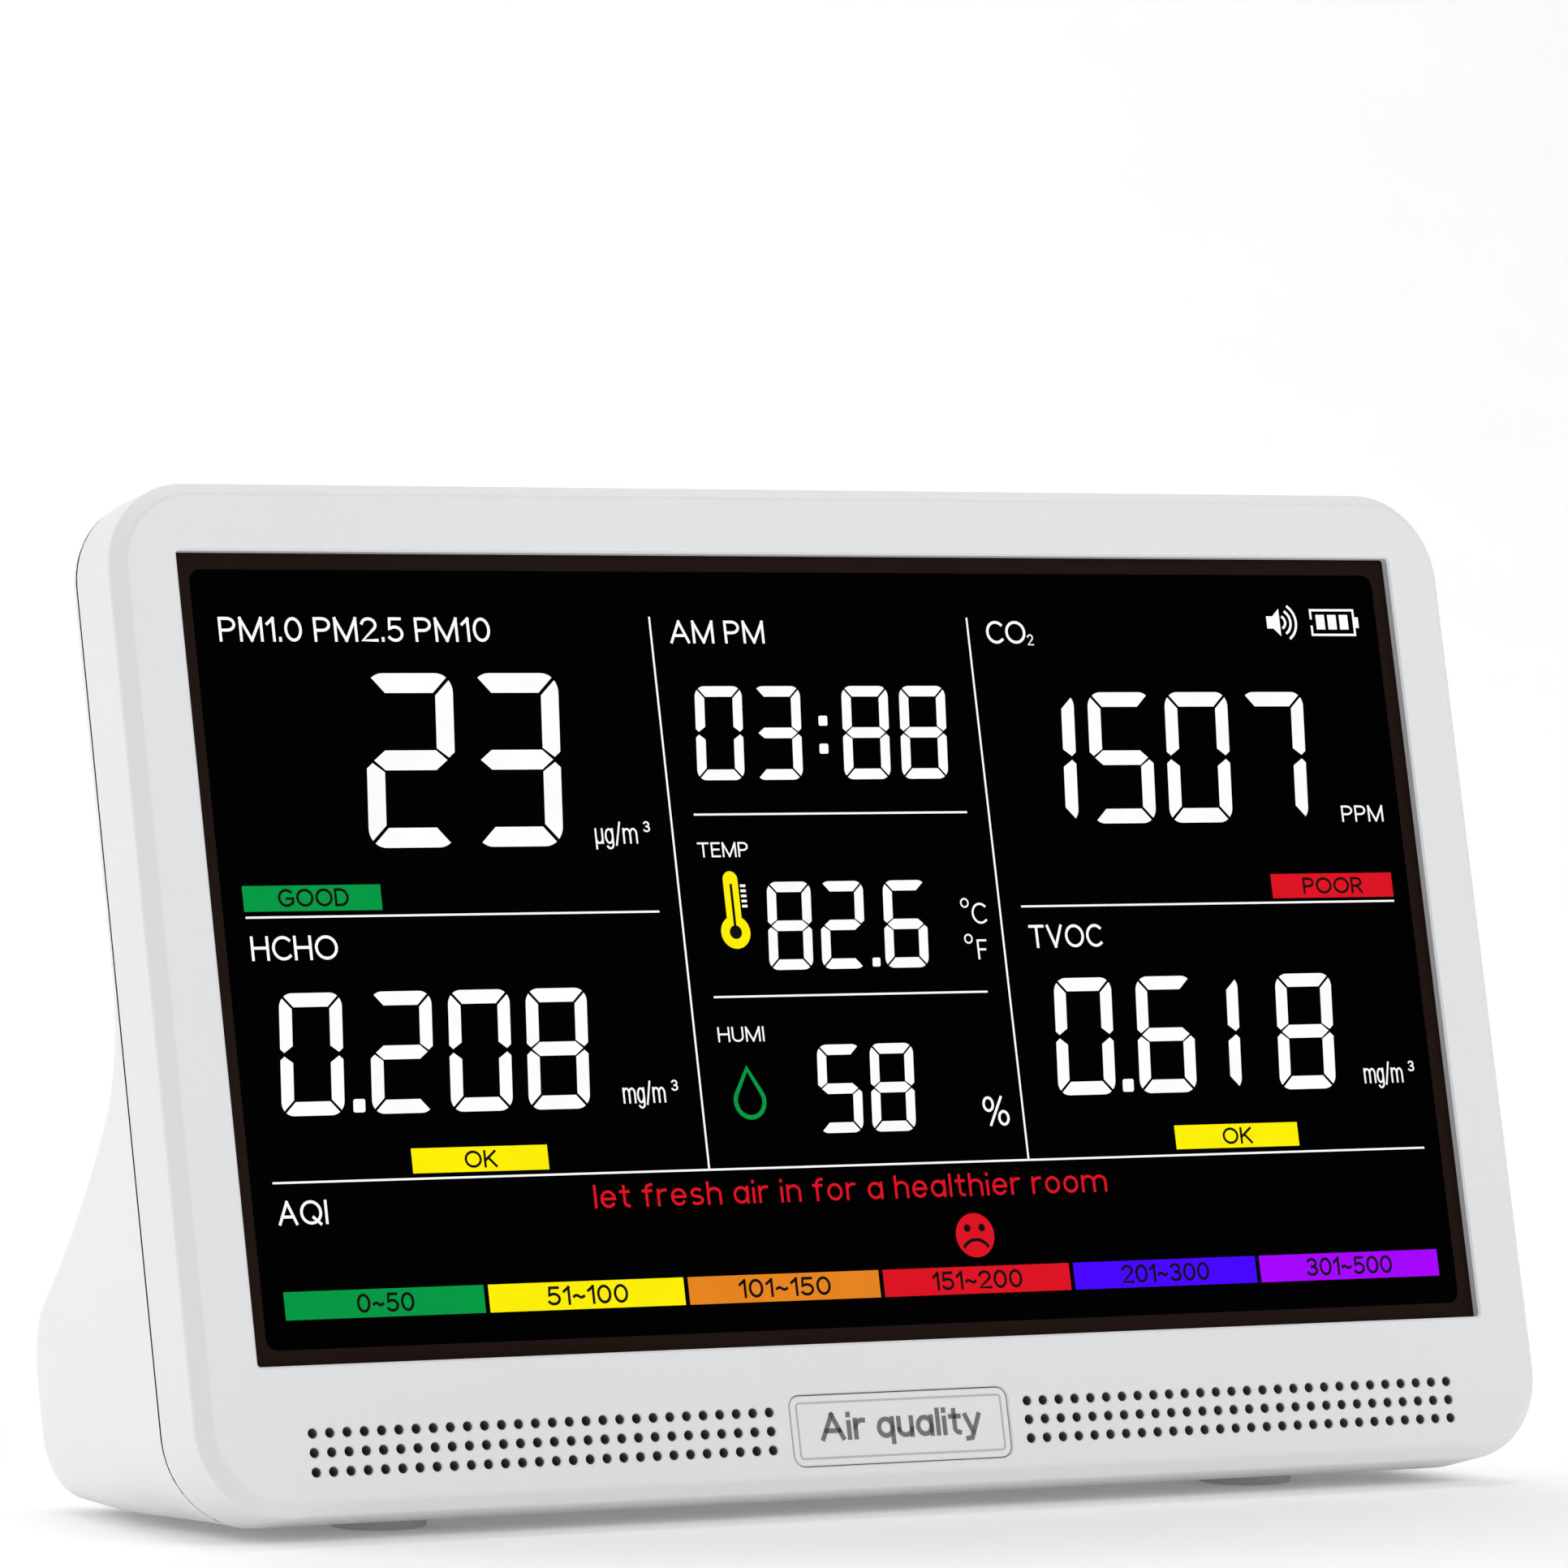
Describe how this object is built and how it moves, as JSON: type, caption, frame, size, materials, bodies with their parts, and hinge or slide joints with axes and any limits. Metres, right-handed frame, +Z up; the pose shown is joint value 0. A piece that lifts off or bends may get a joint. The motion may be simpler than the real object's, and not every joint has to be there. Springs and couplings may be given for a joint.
{
  "type": "air quality monitor",
  "caption": "Desk air quality monitor with a leaning wide display panel, a vented hollow foot, rear push buttons, a battery switch and a power inlet.",
  "frame": {"origin": "centre of the overall box on the plane the rubber feet stand on", "axes": "+Z up, +X to the right of someone facing the display, the display faces -Y and leans back"},
  "size_m": [0.19, 0.064, 0.1244],
  "materials": {
    "shell_white": "fine moulded matt white with a soft sheen",
    "trim_white": "smooth matt off-white",
    "button_white": "smooth matt off-white with grey printed marks",
    "window_black": "clear scratch-resistant window over a black display with a brown-black border",
    "foot_rubber": "grey rubber",
    "screw_black": "blackened steel",
    "black_plastic": "black moulded plastic",
    "circuit_board": "green solder mask",
    "lcd_glass": "dark display glass",
    "diffuser_white": "white diffuser plastic",
    "sheet_metal": "plain sheet steel",
    "flex_amber": "amber flexible circuit",
    "cell_wrap": "blue shrink wrap",
    "lead_red": "insulated wire",
    "sensor_gold": "gold-plated sensor can"
  },
  "bodies": {
    "case": {"front_shell": "shell_white", "rear_shell": "shell_white", "display_window": "window_black", "badge_plate": "trim_white", "side_cover": "trim_white", "feet": "foot_rubber", "case_screws": "screw_black", "button_board": "circuit_board", "tact_switches": "black_plastic", "lcd_panel": "lcd_glass", "backlight": "diffuser_white", "lcd_bracket": "sheet_metal", "bracket_screws": "sheet_metal", "flex_cable": "flex_amber", "main_board": "circuit_board", "main_chips": "black_plastic", "board_screws": "sheet_metal", "battery_cell": "cell_wrap", "battery_cradle": "black_plastic", "battery_lead": "lead_red", "particle_sensor_tray": "sheet_metal", "particle_sensor_lid": "sheet_metal", "sensor_fan_axle": "sheet_metal", "co2_sensor": "sensor_gold", "formaldehyde_sensor": "diffuser_white", "temp_humidity_sensor": "diffuser_white", "sounder": "black_plastic", "usb_socket": "sheet_metal", "usb_tongue": "black_plastic", "usb_board": "circuit_board", "battery_switch_body": "black_plastic", "switch_board": "circuit_board"},
    "power_key": {"power_button": "button_white"},
    "volume_key": {"volume_button": "button_white"},
    "brightness_key": {"brightness_button": "button_white"},
    "clock_key": {"clock_button": "button_white"},
    "switch_plunger": {"battery_switch_plunger": "button_white"},
    "sensor_fan": {"sensor_fan_rotor": "black_plastic"}
  },
  "joints": [
    {"name": "power_press", "type": "slide", "parent": "case", "child": "power_key", "axis": [0, -0.9759, 0.2181], "range_m": [0, 0.0006], "stiffness_N_per_m": 900},
    {"name": "volume_press", "type": "slide", "parent": "case", "child": "volume_key", "axis": [0, -0.9759, 0.2181], "range_m": [0, 0.0006], "stiffness_N_per_m": 900},
    {"name": "brightness_press", "type": "slide", "parent": "case", "child": "brightness_key", "axis": [0, -0.9759, 0.2181], "range_m": [0, 0.0006], "stiffness_N_per_m": 900},
    {"name": "clock_press", "type": "slide", "parent": "case", "child": "clock_key", "axis": [0, -0.9759, 0.2181], "range_m": [0, 0.0006], "stiffness_N_per_m": 900},
    {"name": "battery_switch_press", "type": "slide", "parent": "case", "child": "switch_plunger", "axis": [0, -0.9759, 0.2181], "range_m": [0, 0.0012], "stiffness_N_per_m": 900},
    {"name": "sensor_fan_spin", "type": "hinge", "parent": "case", "child": "sensor_fan", "pos_m": [0.024, 0.00476, 0.01392], "axis": [0, 0.2181, 0.9759], "continuous": true}
  ]
}
